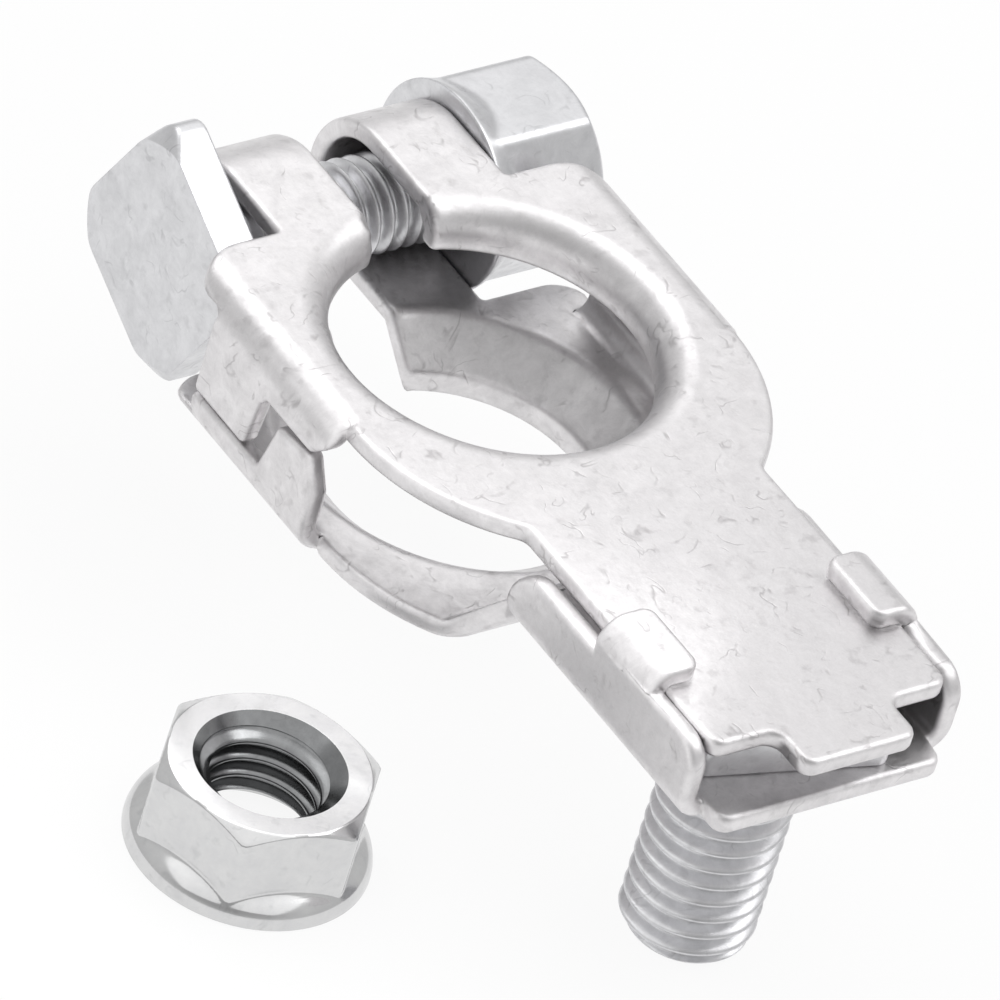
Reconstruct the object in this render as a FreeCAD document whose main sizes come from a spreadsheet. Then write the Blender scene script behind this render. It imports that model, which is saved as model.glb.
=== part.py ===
import FreeCAD, Part
import math
import os

import Sketcher

# A battery terminal clamp: one strip of plated sheet folded round its clamp bolt,
# with the bolt, its flange nut, a terminal stud trapped in the tail, and the stud's nut.
# Millimetres. +Z runs along the battery post to its wide end, +X from the bolt's head to its
# nut, and the tail points along -Y. The origin is on the post's axis, at the upper lip's middle.
# Each body is drawn about its own middle and then placed.

SIZES = {
    # the sheet and its fold
    "sheet_thickness": 1.2,
    "ring_height": 9.8,
    "fold_centre": 16.5,
    "arm_gap": 4.3,
    "strip_half_width": 8.0,
    "upper_shoulder": 11.3,
    "lower_shoulder": 10.1,
    "notch_round": 0.25,
    "cutter_margin": 4.8,
    # the side walls, where both sheets bend towards each other
    "wall_half_width": 14.6,
    "wall_bend": 2.2,
    "wall_front": 7.5,
    "horn_land": 0.1,
    "wall_rear": 4.3,
    "seam_width": 0.2,
    "seam_height": 2.0,
    "seam_step_front": 2.4,
    "seam_step_rear": 0.8,
    "seam_rear_corner": 3.1,
    "seam_rear_drop": 2.2,
    "seam_lean": 0.4,
    "seam_corner_cut": 0.6,
    # the ring round the post
    "ring_centre": 4.6,
    "upper_ring_radius": 13.4,
    "lower_ring_radius": 13.1,
    "upper_lip_radius": 9.6,
    "upper_lip_bend": 2.1,
    "upper_lip_height": 0.7,
    "lower_lip_radius": 8.5,
    "lower_lip_reach": 3.3,
    "lower_lip_angle": 42.0,
    "lower_lip_bend": 1.5,
    # the tail
    "tail_half_width": 8.2,
    "tail_height": 5.4,
    "tail_front": 34.2,
    "tongue_half_width": 3.95,
    "tongue_tip": 37.3,
    "tongue_round": 0.9,
    "neck_round": 1.0,
    "joggle_start": 13.4,
    "joggle_end": 16.6,
    "joggle_bend": 0.8,
    "flange_gap": 0.1,
    "flange_bend": 1.7,
    "flange_rear": 16.3,
    "flange_rear_round": 2.5,
    "flange_rear_height": 4.3,
    "flange_front": 34.3,
    "flange_front_round": 1.9,
    "flange_front_height": 5.3,
    "tab_rear": 24.0,
    "tab_length": 5.3,
    "tab_reach": 2.1,
    "tab_gap": 0.05,
    "tab_round": 0.8,
    "lower_front": 36.1,
    # the clamp bolt and its nut
    "bolt_diameter": 6.0,
    "bolt_length": 25.6,
    "bolt_drop": 0.4,
    "bolt_head_width": 11.9,
    "bolt_head_height": 2.8,
    "bolt_head_turn": 26.0,
    "bolt_head_round": 1.8,
    "bolt_head_cut": 0.77,
    "bolt_head_chamfer": 0.8,
    "bolt_head_play": 0.9,
    "nut_width": 11.0,
    "nut_height": 8.0,
    "nut_flange_radius": 6.4,
    "nut_seat_gap": 0.05,
    "nut_flange_height": 1.1,
    "nut_turn": 28.0,
    "thread_clearance": 0.05,
    # the terminal stud and its nut
    "stud_diameter": 8.0,
    "stud_centre": 28.2,
    "stud_length": 16.1,
    "stud_neck_radius": 3.4,
    "stud_neck_reach": 0.6,
    "stud_head_width": 12.0,
    "stud_head_height": 2.7,
    "stud_head_turn": -14.0,
    "stud_head_round": 0.8,
    "stud_clearance": 0.2,
    "stud_nut_width": 12.0,
    "stud_nut_height": 6.2,
    "stud_nut_flange_radius": 7.25,
    "stud_nut_flange_height": 1.2,
    "stud_nut_turn": 45.0,
    "stud_nut_left": 20.9,
    "stud_nut_back": 13.9,
    # the turned ends of bolt, stud and nuts
    "thread_end_chamfer": 0.8,
    "nut_mouth_chamfer": 0.6,
    "nut_corner_chamfer": 0.7,
    "nut_face_land": 0.15,
    "nut_cone_rise": 1.1,
    "nut_rim_bevel": 0.3,
    "nut_rim_drop": 0.55,
}

doc = FreeCAD.newDocument("terminal_clamp")
sheet = doc.addObject("Spreadsheet::Sheet", "Sizes")
for row, (alias, number) in enumerate(SIZES.items(), start=1):
    sheet.set(f"A{row}", alias)
    sheet.set(f"B{row}", str(number))
    sheet.setAlias(f"B{row}", alias)
doc.recompute()


class Size:
    """A length that knows its number and the sheet expression that gives it."""

    def __init__(self, number, text):
        self.number = number
        self.text = text

    def __add__(self, other):
        other = as_size(other)
        return Size(self.number + other.number, f"({self.text} + {other.text})")

    def __radd__(self, other):
        return as_size(other) + self

    def __sub__(self, other):
        other = as_size(other)
        return Size(self.number - other.number, f"({self.text} - {other.text})")

    def __rsub__(self, other):
        return as_size(other) - self

    def __mul__(self, other):
        other = as_size(other)
        return Size(self.number * other.number, f"({self.text} * {other.text})")

    __rmul__ = __mul__

    def __truediv__(self, other):
        other = as_size(other)
        return Size(self.number / other.number, f"({self.text} / {other.text})")

    def __neg__(self):
        return Size(-self.number, f"(-1 * {self.text})")

    def root(self):
        return Size(math.sqrt(self.number), f"sqrt({self.text})")


def as_size(value):
    if isinstance(value, Size):
        return value
    return Size(float(value), repr(float(value)))


def size(alias):
    return Size(float(SIZES[alias]), f"Sizes.{alias}")


def leg(hypotenuse, other_leg):
    """The second leg of a right-angled triangle."""
    return (hypotenuse * hypotenuse - other_leg * other_leg).root()


def sine(angle):
    return Size(math.sin(math.radians(angle.number)), f"sin({angle.text} * 1 deg)")


def cosine(angle):
    return Size(math.cos(math.radians(angle.number)), f"cos({angle.text} * 1 deg)")


thickness = size("sheet_thickness")
half_height = size("ring_height") / 2
fold_y = size("fold_centre")
wall_x = size("wall_half_width")
bend_x = wall_x - size("wall_bend")
tail_floor = half_height - size("tail_height")
flange_inner_x = size("tail_half_width") + size("flange_gap")
flange_x = flange_inner_x + thickness
flange_bend_x = flange_x - size("flange_bend")
strip_x = size("strip_half_width")
post_seat = half_height - size("upper_lip_bend") - size("upper_lip_height") / 2
margin = size("cutter_margin")


def new_body(name):
    body = doc.addObject("PartDesign::Body", name)
    body.Label = name
    return body


def plane(body, role):
    return next(item for item in body.Origin.OriginFeatures if item.Role == role)


def new_sketch(body, name, role, offset=None):
    """A sketch on one of the body's origin planes, moved along its normal by offset."""
    sketch = body.newObject("Sketcher::SketchObject", name)
    sketch.AttachmentSupport = (plane(body, role), [""])
    sketch.MapMode = "FlatFace"
    if offset is not None:
        sketch.setExpression("AttachmentOffset.Base.z", offset.text)
    return sketch


def bind(sketch, kind, geometry, point, value):
    """One coordinate of a sketch point, driven by the sheet."""
    value = as_size(value)
    index = sketch.addConstraint(Sketcher.Constraint(kind, -1, 1, geometry, point, value.number))
    sketch.setExpression(f"Constraints[{index}]", value.text)


def pin(sketch, geometry, point, x, y):
    for kind, axis, value in (("DistanceX", -2, as_size(x)), ("DistanceY", -1, as_size(y))):
        if value.number == 0:
            sketch.addConstraint(Sketcher.Constraint("PointOnObject", geometry, point, axis))
        else:
            bind(sketch, kind, geometry, point, value)


class Arc:
    """A round stretch of an outline: its end, its centre and the way it turns."""

    def __init__(self, x, y, centre, turns_left):
        self.end = (as_size(x), as_size(y))
        self.centre = (as_size(centre[0]), as_size(centre[1]))
        self.turns_left = turns_left

    def mirrored_from(self, start):
        """The same arc on the other side of the middle, run the other way."""
        return Arc(-start[0], start[1], (-self.centre[0], self.centre[1]), self.turns_left)


def end_of(item):
    if isinstance(item, Arc):
        return item.end
    return (as_size(item[0]), as_size(item[1]))


def vector(point):
    return FreeCAD.Vector(point[0].number, point[1].number, 0)


def arc_edge(start, arc):
    centre = vector(arc.centre)
    first = vector(start) - centre
    last = vector(arc.end) - centre
    angles = [math.atan2(first.y, first.x), math.atan2(last.y, last.x)]
    if not arc.turns_left:
        angles.reverse()
    circle = Part.Circle(centre, FreeCAD.Vector(0, 0, 1), first.Length)
    return Part.ArcOfCircle(circle, angles[0], angles[1])


def draw_outline(sketch, items):
    """A closed outline of lines and arcs, with every corner driven by the sheet."""
    starts = [end_of(items[-1])] + [end_of(item) for item in items[:-1]]
    ends = []
    for start, item in zip(starts, items):
        if isinstance(item, Arc):
            index = sketch.addGeometry(arc_edge(start, item), False)
            ends.append((index, 1, 2) if item.turns_left else (index, 2, 1))
        else:
            edge = Part.LineSegment(vector(start), vector(end_of(item)))
            ends.append((sketch.addGeometry(edge, False), 1, 2))
    for (index, _, tail), (following, head, _) in zip(ends, ends[1:] + ends[:1]):
        sketch.addConstraint(Sketcher.Constraint("Coincident", index, tail, following, head))
    for start, item, (index, _, tail) in zip(starts, items, ends):
        pin(sketch, index, tail, *end_of(item))
        if isinstance(item, Arc):
            pin_centre(sketch, index, start, item)


def pin_centre(sketch, index, start, arc):
    """An arc with both ends given needs one coordinate of its centre, the one that moves most."""
    across = vector(arc.end) - vector(start)
    if abs(across.y) > abs(across.x):
        kind, axis, value = "DistanceX", -2, arc.centre[0]
    else:
        kind, axis, value = "DistanceY", -1, arc.centre[1]
    if value.number == 0:
        sketch.addConstraint(Sketcher.Constraint("PointOnObject", index, 3, axis))
    else:
        bind(sketch, kind, index, 3, value)


def draw_circle(sketch, radius, x=0, y=0):
    radius = as_size(radius)
    centre = FreeCAD.Vector(as_size(x).number, as_size(y).number, 0)
    index = sketch.addGeometry(Part.Circle(centre, FreeCAD.Vector(0, 0, 1), radius.number), False)
    pin(sketch, index, 3, x, y)
    number = sketch.addConstraint(Sketcher.Constraint("Radius", index, radius.number))
    sketch.setExpression(f"Constraints[{number}]", radius.text)


def box_outline(left, right, low, high):
    return [(left, low), (right, low), (right, high), (left, high)]


def both_sides(right_side):
    """An outline from its right half, which runs from the top down."""
    left_side = []
    for number in range(len(right_side) - 1, -1, -1):
        x, y = end_of(right_side[number])
        if number == len(right_side) - 1:
            left_side.append((-x, y))
            continue
        following = right_side[number + 1]
        if isinstance(following, Arc):
            left_side.append(following.mirrored_from((x, y)))
        else:
            left_side.append((-x, y))
    return right_side + left_side


def volume_of(body):
    return body.Shape.Volume if not body.Shape.isNull() else 0.0


def add(body, kind, name, sketch, **settings):
    """A sketched feature, which has to change the body's volume in its own direction."""
    before = volume_of(body)
    feature = body.newObject(f"PartDesign::{kind}", name)
    feature.Profile = sketch
    for key, value in settings.items():
        if isinstance(value, Size):
            feature.setExpression(key, value.text)
        else:
            setattr(feature, key, value)
    doc.recompute()
    grows = kind in ("Pad", "Revolution")
    change = volume_of(body) - before
    if (change <= 0) if grows else (change >= 0):
        raise RuntimeError(f"{name} changed the volume by {change:.3f}")
    return feature


def mirror_across_middle(body, name, features):
    mirrored = body.newObject("PartDesign::Mirrored", name)
    mirrored.Originals = features
    mirrored.MirrorPlane = (plane(body, "YZ_Plane"), [""])
    body.Tip = mirrored
    doc.recompute()
    return mirrored


def dress(body, kind, name, test, **settings):
    """A fillet or chamfer on the edges of the body so far that pass a test."""
    base = body.Tip
    names = [f"Edge{i}" for i, edge in enumerate(base.Shape.Edges, start=1) if test(edge)]
    if not names:
        raise RuntimeError(f"{name} finds no edge")
    feature = body.newObject(f"PartDesign::{kind}", name)
    feature.Base = (base, names)
    for key, value in settings.items():
        feature.setExpression(key, value.text)
    doc.recompute()
    return feature


def runs_along(edge, axis):
    if not isinstance(edge.Curve, Part.Line):
        return False
    return abs(abs(getattr(edge.Curve.Direction, axis)) - 1) < 1e-6


def lies_at(edge, **place):
    centre = edge.CenterOfMass
    return all(abs(getattr(centre, key) - as_size(value).number) < 1e-3 for key, value in place.items())


def upright_at(spots, low, high):
    """A test for upright edges at any of the spots, between two heights."""
    def test(edge):
        if not runs_along(edge, "z") or not low < edge.CenterOfMass.z < high:
            return False
        return any(lies_at(edge, x=x, y=y) or lies_at(edge, x=-as_size(x), y=y) for x, y in spots)
    return test


def fold_strip(body):
    """The strip as a hairpin seen from the side: both sheets and the fold between them."""
    rise = tail_floor + half_height
    run = size("joggle_end") - size("joggle_start")
    shift = thickness * ((rise * rise + run * run).root() - run) / rise
    start, end = -size("joggle_start"), -size("joggle_end")
    tip, front = -size("tongue_tip"), -size("lower_front")
    sketch = new_sketch(body, "strip_side", "YZ_Plane")
    draw_outline(sketch, [
        (tip, half_height - thickness),
        (tip, half_height),
        (fold_y, half_height),
        Arc(fold_y, -half_height, (fold_y, 0), False),
        (start, -half_height),
        (end, tail_floor),
        (front, tail_floor),
        (front, tail_floor + thickness),
        (end + shift, tail_floor + thickness),
        (start + shift, thickness - half_height),
        (fold_y, thickness - half_height),
        Arc(fold_y, half_height - thickness, (fold_y, 0), True),
    ])
    add(body, "Pad", "folded_strip", sketch, Length=wall_x * 2, Midplane=True)
    inner = [(end, tail_floor), (start + shift, thickness - half_height)]
    outer = [(start, -half_height), (end + shift, tail_floor + thickness)]
    for name, spots, radius in (("joggle_inside", inner, size("joggle_bend")),
                                ("joggle_outside", outer, size("joggle_bend") + thickness)):
        dress(body, "Fillet", name, lambda edge: runs_along(edge, "x") and any(
            lies_at(edge, y=y, z=z) for y, z in spots), Radius=radius)


def sheet_outline(shoulder, radius, tail_points, neck_x):
    """One sheet in plan, from the fold to the tail's end."""
    side = [
        (strip_x, fold_y + half_height + margin),
        (strip_x, shoulder),
        (bend_x, shoulder),
        (bend_x, -size("wall_rear")),
        (leg(radius, size("ring_centre") - size("wall_rear")), -size("wall_rear")),
        Arc(neck_x, -size("ring_centre") - leg(radius, neck_x), (0, -size("ring_centre")), False),
    ]
    return both_sides(side + tail_points)


def trim_sheets(body):
    """Cuts both sheets to their outlines, from a level between the tail's two plates."""
    level = (tail_floor + half_height) / 2
    tail_x, tongue_x = size("tail_half_width"), size("tongue_half_width")
    upper = sheet_outline(size("upper_shoulder"), size("upper_ring_radius"), [
        (tail_x, -size("tail_front")),
        (tongue_x, -size("tail_front")),
        (tongue_x, -size("tongue_tip") - margin),
    ], tail_x)
    lower = sheet_outline(size("lower_shoulder"), size("lower_ring_radius"), [
        (flange_bend_x, -size("lower_front") - margin),
    ], flange_bend_x)
    stock = box_outline(-(wall_x + margin), wall_x + margin,
                        -size("tongue_tip") - margin * 2, fold_y + half_height + margin * 2)
    for name, outline, upwards in (("upper", upper, True), ("lower", lower, False)):
        sketch = new_sketch(body, f"{name}_outline", "XY_Plane", level)
        draw_outline(sketch, stock)
        draw_outline(sketch, outline)
        add(body, "Pocket", f"{name}_trim", sketch, Type="ThroughAll", Reversed=upwards)
    round_corners(body)


def round_corners(body):
    tail_x, tongue_x = size("tail_half_width"), size("tongue_half_width")
    neck_y = -size("ring_centre") - leg(size("upper_ring_radius"), tail_x)
    top = half_height.number
    front = [(tail_x, -size("tail_front")), (tongue_x, -size("tail_front")), (tongue_x, -size("tongue_tip"))]
    dress(body, "Fillet", "tongue_corners", upright_at(front, 0, top), Radius=size("tongue_round"))
    dress(body, "Fillet", "neck_corners", upright_at([(tail_x, neck_y)], 0, top), Radius=size("neck_round"))
    roots = [(strip_x, size("upper_shoulder")), (strip_x, size("lower_shoulder"))]
    dress(body, "Fillet", "notch_roots", upright_at(roots, -top, top), Radius=size("notch_round"))
    corners = [(flange_bend_x, -size("lower_front"))]
    dress(body, "Fillet", "lower_corners", upright_at(corners, -top, top), Radius=size("tongue_round"))


def bend_side_walls(body):
    """The outer edges of both sheets bent towards each other, meeting in a stepped seam."""
    top, bend = half_height, size("wall_bend")
    inner_x = wall_x - thickness
    sketch = new_sketch(body, "wall_section", "XZ_Plane", -size("upper_shoulder"))
    upper_centre, lower_centre = (bend_x, top - bend), (bend_x, bend - top)
    draw_outline(sketch, [
        (bend_x, top),
        Arc(wall_x, top - bend, upper_centre, False),
        (wall_x, bend - top),
        Arc(bend_x, -top, lower_centre, False),
        (bend_x, thickness - top),
        Arc(inner_x, bend - top, lower_centre, True),
        (inner_x, top - bend),
        Arc(bend_x, top - thickness, upper_centre, True),
    ])
    wall = add(body, "Pad", "side_wall", sketch, Length=size("upper_shoulder") + size("wall_rear"))
    sketch = new_sketch(body, "wall_front_cut", "XY_Plane")
    draw_outline(sketch, box_outline(bend_x, wall_x + margin, size("wall_front"),
                                     size("upper_shoulder") + margin))
    front = add(body, "Pocket", "wall_front", sketch, Length=(top - thickness) * 2, Midplane=True)
    trims = [wall, front]
    for name, shoulder, upwards in (("upper", size("upper_shoulder"), True),
                                    ("lower", size("lower_shoulder"), False)):
        sketch = new_sketch(body, f"{name}_horn_end", "XY_Plane")
        draw_outline(sketch, horn_waste(shoulder))
        trims.append(add(body, "Pocket", f"{name}_horn", sketch, Type="ThroughAll", Reversed=upwards))
    trims.append(cut_seam(body))
    mirror_across_middle(body, "second_side_wall", trims)


def horn_waste(shoulder):
    """What lies in front of a sheet's rounded outer corner, beside the bolt's barrel."""
    low = size("wall_front") + size("horn_land")
    side = wall_x - (shoulder - low)
    return [
        (side, shoulder + margin),
        (side, shoulder),
        Arc(wall_x, low, (side, low), False),
        (wall_x + margin, low),
        (wall_x + margin, shoulder + margin),
    ]


def cut_seam(body):
    """The gap between the two flaps of a wall: low in front, a notch, high at the rear."""
    level, gap = size("seam_height"), size("seam_width")
    lean, cut = size("seam_lean"), size("seam_corner_cut")
    front = size("wall_front") + margin
    step, tip, rear = size("seam_step_front"), size("seam_step_rear"), -size("wall_rear") - margin
    corner = -size("seam_rear_corner")
    slope = size("wall_rear") - size("seam_rear_corner")
    sketch = new_sketch(body, "seam", "YZ_Plane", wall_x + margin)
    draw_outline(sketch, [
        (front, -level),
        (step, -level),
        (step - lean, level - cut),
        (step - lean - cut, level),
        (corner, level),
        (corner - slope, level + slope),
        (rear, level + slope),
        (rear, level - size("seam_rear_drop")),
        (corner - slope, level - size("seam_rear_drop")),
        (corner, level - gap),
        (tip - cut - gap, level - cut),
        (tip, -level),
        (tip + gap, -level - gap),
        (front, -level - gap),
    ])
    return add(body, "Pocket", "seam_cut", sketch, Length=size("wall_bend") + margin)


def draw_flanges(body):
    """The post hole in both sheets, each with a flange drawn down towards the post."""
    top, bend, lip = half_height, size("upper_lip_bend"), size("upper_lip_radius")
    level = (tail_floor + half_height) / 2
    upper_start = lip + bend
    lower_start = size("lower_lip_radius") + size("lower_lip_reach")
    for name, radius, upwards in (("upper", upper_start, True), ("lower", lower_start, False)):
        sketch = new_sketch(body, f"{name}_hole", "XY_Plane", level)
        draw_circle(sketch, radius)
        add(body, "Pocket", f"{name}_hole_cut", sketch, Type="ThroughAll", Reversed=upwards)
    lip_end = top - bend - size("upper_lip_height")
    sketch = new_sketch(body, "upper_flange_section", "XZ_Plane")
    draw_outline(sketch, [
        (lip, lip_end),
        (lip + thickness, lip_end),
        (lip + thickness, top - bend),
        (upper_start, top - thickness),
        (upper_start, top),
        Arc(lip, top - bend, (upper_start, top - bend), True),
    ])
    add(body, "Revolution", "upper_flange", sketch, ReferenceAxis=(sketch, ["V_Axis"]))
    draw_lower_flange(body, lower_start)


def draw_lower_flange(body, start):
    """A bend to a slope, then a cone that ends in an upright land against the post."""
    lip, bend = size("lower_lip_radius"), size("lower_lip_bend")
    angle = size("lower_lip_angle")
    high, low = thickness - half_height, -half_height
    slope = sine(angle) / cosine(angle)
    bend_end = (start - bend * sine(angle), high - bend + bend * cosine(angle))
    lip_top = bend_end[1] - (bend_end[0] - lip) * slope
    lip_foot = lip_top - thickness / cosine(angle)
    sketch = new_sketch(body, "lower_flange_section", "XZ_Plane")
    draw_outline(sketch, [
        (start, high),
        Arc(bend_end[0], bend_end[1], (start, high - bend), True),
        (lip, lip_top),
        (lip, lip_foot),
        (lip + (low - lip_foot) / slope, low),
        (start, low),
    ])
    add(body, "Revolution", "lower_flange", sketch, ReferenceAxis=(sketch, ["V_Axis"]))


def part_arms(body):
    """The gap that parts the two arms, right through both sheets and the fold."""
    half_gap = size("arm_gap") / 2
    inside_hole = size("lower_lip_radius") / 2
    sketch = new_sketch(body, "arm_gap_plan", "XY_Plane")
    draw_outline(sketch, box_outline(-half_gap, half_gap, inside_hole,
                                     fold_y + half_height + margin))
    add(body, "Pocket", "arm_gap_cut", sketch, Type="ThroughAll", Midplane=True)


def bend_tail_flanges(body):
    """The lower plate's edges bent up beside the upper plate, with a tab folded over it."""
    bend = size("flange_bend")
    rear_top = tail_floor + size("flange_rear_height")
    front_top = tail_floor + size("flange_front_height")
    centre = (flange_bend_x, tail_floor + bend)
    sketch = new_sketch(body, "tail_flange_section", "XZ_Plane", size("flange_rear"))
    draw_outline(sketch, [
        (flange_bend_x, tail_floor),
        Arc(flange_x, tail_floor + bend, centre, True),
        (flange_x, front_top),
        (flange_inner_x, front_top),
        (flange_inner_x, tail_floor + bend),
        Arc(flange_bend_x, tail_floor + thickness, centre, False),
    ])
    trims = [add(body, "Pad", "tail_flange", sketch,
                 Length=size("flange_front") - size("flange_rear"))]
    depth = margin + thickness + size("flange_gap") / 2
    for name, outline in flange_waste(rear_top, front_top).items():
        sketch = new_sketch(body, f"{name}_side", "YZ_Plane", flange_x + margin)
        draw_outline(sketch, outline)
        trims.append(add(body, "Pocket", name, sketch, Length=depth))
    trims.append(fold_tab(body))
    mirror_across_middle(body, "second_tail_flange", trims)


def flange_waste(rear_top, front_top):
    """What a tail flange loses above its rounded ends: a low stretch behind the tab, a high one before."""
    rear, rear_round = -size("flange_rear"), size("flange_rear_round")
    front, front_round = -size("flange_front"), size("flange_front_round")
    middle = -size("tab_rear") - size("tab_length") / 2
    above = front_top + margin
    return {
        "flange_rear_trim": [
            (rear, above),
            (middle, above),
            (middle, rear_top),
            (rear - rear_round, rear_top),
            Arc(rear, rear_top - rear_round, (rear - rear_round, rear_top - rear_round), False),
        ],
        "flange_front_trim": [
            (front - margin, above),
            (front - margin, front_top - front_round),
            (front, front_top - front_round),
            Arc(front + front_round, front_top, (front + front_round, front_top - front_round), False),
            (front + front_round, above),
        ],
    }


def fold_tab(body):
    """A tab that stands up from the flange and is folded flat over the upper plate."""
    bend = size("flange_bend")
    under = half_height + size("tab_gap")
    over = under + thickness
    end_x = size("tail_half_width") - size("tab_reach")
    centre = (flange_bend_x, over - bend)
    sketch = new_sketch(body, "tab_section", "XZ_Plane", size("tab_rear"))
    draw_outline(sketch, [
        (flange_x, tail_floor + bend),
        (flange_x, over - bend),
        Arc(flange_bend_x, over, centre, True),
        (end_x, over),
        (end_x, under),
        (flange_bend_x, under),
        Arc(flange_inner_x, over - bend, centre, False),
        (flange_inner_x, tail_floor + bend),
    ])
    return add(body, "Pad", "tab", sketch, Length=size("tab_length"))


def round_tabs(body):
    """The free corners of both tabs, and the stud's hole in the lower plate."""
    end_x = size("tail_half_width") - size("tab_reach")
    rear, front = -size("tab_rear"), -size("tab_rear") - size("tab_length")
    spots = [(end_x, rear), (end_x, front)]
    dress(body, "Fillet", "tab_corners", upright_at(spots, half_height.number, 2 * half_height.number),
          Radius=size("tab_round"))
    level = (tail_floor + half_height) / 2
    sketch = new_sketch(body, "stud_hole", "XY_Plane", level)
    draw_circle(sketch, size("stud_diameter") / 2 + size("stud_clearance"), 0, -size("stud_centre"))
    add(body, "Pocket", "stud_hole_cut", sketch, Type="ThroughAll")


def make_clamp_body():
    body = new_body("clamp_body")
    fold_strip(body)
    trim_sheets(body)
    bend_side_walls(body)
    draw_flanges(body)
    part_arms(body)
    bend_tail_flanges(body)
    round_tabs(body)
    place(body, 0, 0, 0)
    return body


def regular_outline(sides, width, turn):
    """A regular polygon by its width across flats, with a flat facing the angle it is turned by."""
    half_step = 180 / sides
    corner = width / 2 / cosine(as_size(half_step))
    angles = [turn + half_step * (2 * i + 1) for i in range(sides)]
    return [(corner * cosine(angle), corner * sine(angle)) for angle in angles]


def chamfer_face(body, face, inner, outer, depth, outwards):
    """Turns a polygon's corners down to a cone at its free face, which looks along outwards."""
    sketch = new_sketch(body, "corner_waste", "XZ_Plane")
    clear = face + margin * outwards
    foot = face - depth * outwards
    draw_outline(sketch, [
        (face, inner),
        (foot, outer),
        (foot, outer + margin),
        (clear, outer + margin),
        (clear, inner),
    ])
    return add(body, "Groove", "corner_chamfer", sketch, ReferenceAxis=(sketch, ["H_Axis"]))


def make_clamp_bolt():
    """A square-headed bolt along X, its head's underside at x = 0 in its own frame."""
    body = new_body("clamp_bolt")
    height, width = size("bolt_head_height"), size("bolt_head_width")
    sketch = new_sketch(body, "head_square", "YZ_Plane", -height)
    draw_outline(sketch, regular_outline(4, width, size("bolt_head_turn")))
    add(body, "Pad", "head", sketch, Length=height)
    dress(body, "Fillet", "head_corners", lambda edge: runs_along(edge, "x"),
          Radius=size("bolt_head_round"))
    corner = width / 2 * as_size(2).root()
    rounded_off = size("bolt_head_round") * (as_size(2).root() - 1)
    chamfer_face(body, -height, corner - rounded_off - size("bolt_head_cut"), corner,
                 size("bolt_head_chamfer"), -1)
    sketch = new_sketch(body, "shank_round", "YZ_Plane")
    draw_circle(sketch, size("bolt_diameter") / 2)
    add(body, "Pad", "shank", sketch, Length=size("bolt_length"))
    dress(body, "Chamfer", "shank_end", lambda edge: lies_at(edge, x=size("bolt_length")),
          Size=size("thread_end_chamfer"))
    place(body, -(strip_x + size("bolt_head_play")), fold_y, -size("bolt_drop"))
    return body


def make_flange_nut(name, width, height, flange_radius, flange_height, bore, turn):
    """A flanged hexagon nut along X, its flange's face at x = 0 in its own frame."""
    body = new_body(name)
    corner = width / 2 / cosine(as_size(30))
    sketch = new_sketch(body, "hexagon", "YZ_Plane")
    draw_outline(sketch, regular_outline(6, width, turn))
    add(body, "Pad", "hexagon_body", sketch, Length=height)
    chamfer_face(body, height, width / 2 - size("nut_face_land"), corner,
                 size("nut_corner_chamfer"), 1)
    sketch = new_sketch(body, "flange_section", "XZ_Plane")
    cone_top = flange_height + size("nut_cone_rise")
    draw_outline(sketch, [
        (0, 0),
        (cone_top, 0),
        (cone_top, width / 2),
        (flange_height, flange_radius - size("nut_rim_bevel")),
        (flange_height - size("nut_rim_drop"), flange_radius),
        (0, flange_radius),
    ])
    add(body, "Revolution", "flange", sketch, ReferenceAxis=(sketch, ["H_Axis"]))
    sketch = new_sketch(body, "bore_section", "XZ_Plane")
    mouth = bore + size("nut_mouth_chamfer")
    draw_outline(sketch, [
        (-margin, 0),
        (height + margin, 0),
        (height + margin, mouth),
        (height, mouth),
        (height - size("nut_mouth_chamfer"), bore),
        (-margin, bore),
    ])
    add(body, "Groove", "bore", sketch, ReferenceAxis=(sketch, ["H_Axis"]))
    return body


def make_clamp_nut():
    bore = size("bolt_diameter") / 2 + size("thread_clearance")
    body = make_flange_nut("clamp_nut", size("nut_width"), size("nut_height"),
                           size("nut_flange_radius"), size("nut_flange_height"), bore,
                           size("nut_turn"))
    place(body, strip_x + size("nut_seat_gap"), fold_y, -size("bolt_drop"))
    return body


def make_terminal_stud():
    """A stud along Z whose square head lies on the tail's lower plate."""
    body = new_body("terminal_stud")
    radius = size("stud_diameter") / 2
    sketch = new_sketch(body, "head_square", "XY_Plane")
    draw_outline(sketch, regular_outline(4, size("stud_head_width"), size("stud_head_turn")))
    add(body, "Pad", "head", sketch, Length=size("stud_head_height"))
    dress(body, "Fillet", "head_corners", lambda edge: runs_along(edge, "z"),
          Radius=size("stud_head_round"))
    length = size("stud_length") + thickness
    neck_end = thickness + size("stud_neck_reach")
    chamfer = size("thread_end_chamfer")
    sketch = new_sketch(body, "shank_section", "XZ_Plane")
    draw_outline(sketch, [
        (0, 0),
        (0, -length),
        (radius - chamfer, -length),
        (radius, chamfer - length),
        (radius, -neck_end),
        (size("stud_neck_radius"), -neck_end),
        (size("stud_neck_radius"), 0),
    ])
    add(body, "Revolution", "shank", sketch, ReferenceAxis=(sketch, ["V_Axis"]))
    place(body, 0, -size("stud_centre"), tail_floor + thickness)
    return body


def make_stud_nut():
    """The stud's nut, taken off and lying beside the clamp at the level of the stud's end."""
    bore = size("stud_diameter") / 2 + size("thread_clearance")
    body = make_flange_nut("stud_nut", size("stud_nut_width"), size("stud_nut_height"),
                           size("stud_nut_flange_radius"), size("stud_nut_flange_height"), bore,
                           size("stud_nut_turn"))
    place(body, -size("stud_nut_left"), -size("stud_nut_back"), tail_floor - size("stud_length"))
    body.Placement.Rotation = FreeCAD.Rotation(FreeCAD.Vector(0, 1, 0), -90)
    return body


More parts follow.
